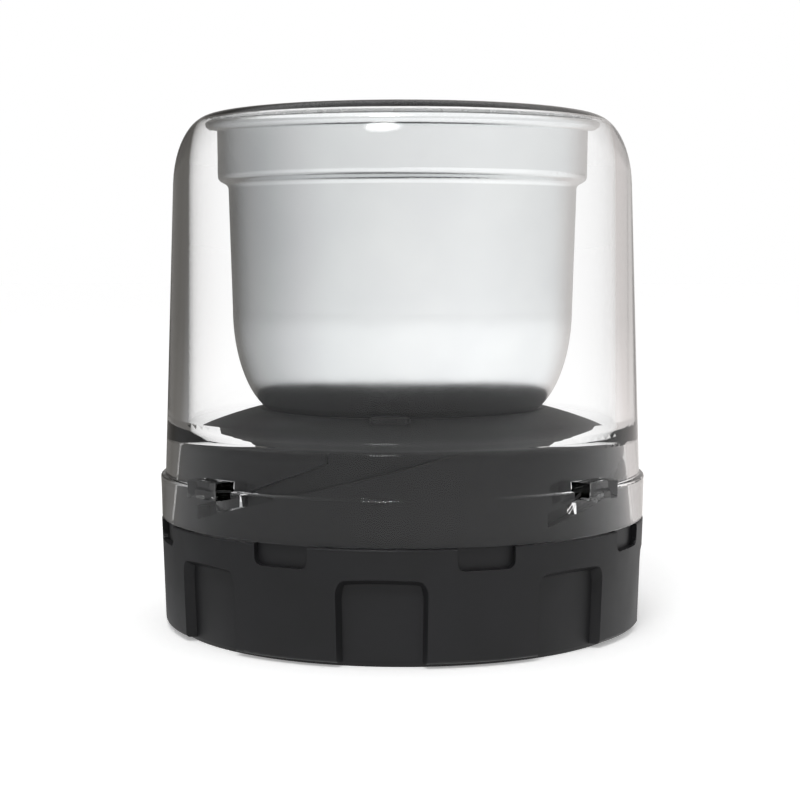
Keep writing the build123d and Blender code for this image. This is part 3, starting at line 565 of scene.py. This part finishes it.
elevation = add_node(
    tent, "ShaderNodeMath", {"operation": "ARCTAN2"},
    i0=axes.outputs["Z"], i1=level_length.outputs["Value"],
)
CARD_TOP, CEILING_EDGE = math.radians(28), math.radians(50)
CEILING = (1.2, 1.2, 1.2, 1.0)
EVEN_LIGHT = (0.75, 0.75, 0.75, 1.0)
overhead = add_node(
    tent, "ShaderNodeMapRange", {"interpolation_type": "SMOOTHSTEP"},
    i0=elevation.outputs[0], i1=CARD_TOP, i2=CEILING_EDGE, i3=0.0, i4=1.0,
)
roofed = add_node(
    tent, "ShaderNodeMix", {"data_type": "RGBA"},
    i0=overhead.outputs[0], i6=wall.outputs[0], i7=CEILING,
)
tent.links.new(roofed.outputs[2], tent.nodes.new("NodeGroupOutput").inputs[0])


def seen_plainly(tree):
    """The light path, and 1 for camera rays and for those that only passed through the cover."""
    path = add_node(tree, "ShaderNodeLightPath")
    unmirrored = add_node(
        tree, "ShaderNodeMath", {"operation": "LESS_THAN"}, i0=path.outputs["Glossy Depth"], i1=0.5
    )
    passed = add_node(
        tree, "ShaderNodeMath", {"operation": "MULTIPLY"},
        i0=path.outputs["Is Transmission Ray"], i1=unmirrored.outputs[0],
    )
    return path, add_node(
        tree, "ShaderNodeMath", {"operation": "MAXIMUM"},
        i0=path.outputs["Is Camera Ray"], i1=passed.outputs[0],
    ).outputs[0]


world = bpy.data.worlds.new("studio")
bpy.context.scene.world = world
world.use_nodes = True
sky = world.node_tree
sky.nodes.clear()
way = add_node(sky, "ShaderNodeTexCoord").outputs["Generated"]
walls = add_node(sky, "ShaderNodeGroup", {"node_tree": tent}, Direction=way)
path, plainly = seen_plainly(sky)
even = add_node(
    sky, "ShaderNodeMix", {"data_type": "RGBA"},
    i0=path.outputs["Is Diffuse Ray"], i6=walls.outputs[0], i7=EVEN_LIGHT,
)
shown = add_node(
    sky, "ShaderNodeMix", {"data_type": "RGBA"},
    i0=plainly, i6=even.outputs[2], i7=linear("#ffffff"),
)
light = add_node(sky, "ShaderNodeBackground", None, Color=shown.outputs[2])
add_node(sky, "ShaderNodeOutputWorld", None, Surface=light.outputs[0])

# Floor: white board. The camera sees it lifted to white but for the object's soft shadow,
# and polished surfaces see the tent's walls carried on across it.
FLOOR_REACH, LIFT_TO_WHITE = 12.0, 0.29
GLOW_STARTS, GLOW_ENDS, NEAR_GLOW, FAR_GLOW = 0.2, 1.4, 1.3, 1.0
floor_mesh = bpy.data.meshes.new("floor")
bm = bmesh.new()
bmesh.ops.create_grid(bm, x_segments=1, y_segments=1, size=FLOOR_REACH)
bm.to_mesh(floor_mesh)
bm.free()
floor = bpy.data.objects.new("floor", floor_mesh)
bpy.context.scene.collection.objects.link(floor)
board, tree, shader = start_material("white_board", Roughness=0.9)
shader.inputs["Base Color"].default_value = linear("#f6f6f6")
shader.inputs["Emission Color"].default_value = linear("#ffffff")
path, plainly = seen_plainly(tree)
lift = add_node(tree, "ShaderNodeMath", {"operation": "MULTIPLY"}, i0=plainly, i1=LIFT_TO_WHITE)
tree.links.new(lift.outputs[0], shader.inputs["Emission Strength"])
place = add_node(tree, "ShaderNodeNewGeometry").outputs["Position"]
walls = add_node(tree, "ShaderNodeGroup", {"node_tree": tent}, Direction=place)
from_object = add_node(
    tree, "ShaderNodeVectorMath", {"operation": "LENGTH"}, i0=place
).outputs["Value"]
# Seen in reflections only, the floor glows with the tent's shades, and glows brighter near the
# object than far off.
near_glow = add_node(
    tree, "ShaderNodeMapRange", {"interpolation_type": "SMOOTHSTEP"},
    i0=from_object, i1=GLOW_STARTS, i2=GLOW_ENDS, i3=NEAR_GLOW, i4=FAR_GLOW,
)
carried = add_node(
    tree, "ShaderNodeEmission", None, Color=walls.outputs[0], Strength=near_glow.outputs[0]
)
mirrored = add_node(
    tree, "ShaderNodeMath", {"operation": "GREATER_THAN"}, i0=path.outputs["Glossy Depth"], i1=0.5
)
undulled = add_node(
    tree, "ShaderNodeMath", {"operation": "LESS_THAN"}, i0=path.outputs["Diffuse Depth"], i1=0.5
)
mirror_only = add_node(
    tree, "ShaderNodeMath", {"operation": "MULTIPLY"}, i0=mirrored.outputs[0], i1=undulled.outputs[0]
)
surface = add_node(
    tree, "ShaderNodeMixShader", None,
    i0=mirror_only.outputs[0], i1=shader.outputs[0], i2=carried.outputs[0],
)
tree.links.new(surface.outputs[0], tree.nodes["Material Output"].inputs["Surface"])
floor.data.materials.append(board)

# Key lamp: a round softbox above the camera, a little to the left.
# The lamp gives the light, and a glowing disc in its place the highlight, soft at its edge.
KEY_AZIMUTH, KEY_ELEVATION = math.radians(-12.5), math.radians(51.5)
KEY_RADIUS, KEY_DISTANCE, KEY_WATTS = 0.15, 0.9, 2.6
DISC_GLOW, DISC_CORE = 16.0, 0.02
aim = Vector((
    math.sin(KEY_AZIMUTH) * math.cos(KEY_ELEVATION),
    -math.cos(KEY_AZIMUTH) * math.cos(KEY_ELEVATION),
    math.sin(KEY_ELEVATION),
))
key_place = Vector((0, 0, 60 * MM)) + aim * KEY_DISTANCE
key_turn = (-aim).to_track_quat("-Z", "Y").to_euler()
key_data = bpy.data.lights.new("key", "AREA")
key_data.shape = "DISK"
key_data.size = 2 * KEY_RADIUS
key_data.energy = KEY_WATTS
key = bpy.data.objects.new("key", key_data)
key.location = key_place
key.rotation_euler = key_turn
key.visible_camera = False
key.visible_glossy = False
key.visible_transmission = False
bpy.context.scene.collection.objects.link(key)
disc_mesh = bpy.data.meshes.new("key_disc")
bm = bmesh.new()
bmesh.ops.create_circle(bm, cap_ends=True, segments=64, radius=KEY_RADIUS)
bm.to_mesh(disc_mesh)
bm.free()
key_disc = bpy.data.objects.new("key_disc", disc_mesh)
key_disc.location = key_place
key_disc.rotation_euler = key_turn
bpy.context.scene.collection.objects.link(key_disc)
glow, tree, shader = start_material("softbox_glow", Roughness=1.0)
shader.inputs["Base Color"].default_value = linear("#000000")
shader.inputs["Emission Color"].default_value = linear("#ffffff")
from_middle = add_node(
    tree, "ShaderNodeVectorMath", {"operation": "LENGTH"},
    i0=add_node(tree, "ShaderNodeTexCoord").outputs["Object"],
)
fade = add_node(
    tree, "ShaderNodeMapRange", {"interpolation_type": "SMOOTHSTEP"},
    i0=from_middle.outputs["Value"], i1=DISC_CORE, i2=KEY_RADIUS, i3=DISC_GLOW, i4=0.0,
)
path = add_node(tree, "ShaderNodeLightPath")
undulled = add_node(
    tree, "ShaderNodeMath", {"operation": "LESS_THAN"}, i0=path.outputs["Diffuse Depth"], i1=0.5
)
# Four times as bright in the cover's own faces as in what stands under the cover
in_cover = add_node(
    tree, "ShaderNodeMapRange", {"interpolation_type": "STEPPED"},
    i0=path.outputs["Transmission Depth"], i1=0.0, i2=4.0, i3=4.0, i4=1.0,
)
in_cover.inputs["Steps"].default_value = 1.0
strength = add_node(
    tree, "ShaderNodeMath", {"operation": "MULTIPLY"}, i0=fade.outputs[0], i1=in_cover.outputs[0]
)
seen_glow = add_node(
    tree, "ShaderNodeMath", {"operation": "MULTIPLY"},
    i0=strength.outputs[0], i1=undulled.outputs[0],
)
tree.links.new(seen_glow.outputs[0], shader.inputs["Emission Strength"])
key_disc.data.materials.append(glow)
key_disc.visible_camera = False
key_disc.visible_diffuse = False
key_disc.visible_shadow = False

# Camera: where the photograph's stood, 0.4 m in front and a little above, tipped down.
# A lens of about 76 mm on a full-size sensor, with no shift.
SENSOR_MM, LENS_MM, TIP = 36, 76.29, math.radians(4.3)
STAND = (-0.56 * MM, -395.71 * MM, 80.87 * MM)
camera_data = bpy.data.cameras.new("camera")
camera_data.sensor_width = SENSOR_MM
camera_data.lens = LENS_MM
camera = bpy.data.objects.new("camera", camera_data)
camera.location = STAND
camera.rotation_euler = (math.radians(90) - TIP, 0, 0)
bpy.context.scene.collection.objects.link(camera)
bpy.context.scene.camera = camera
bpy.context.scene.view_settings.view_transform = "Standard"
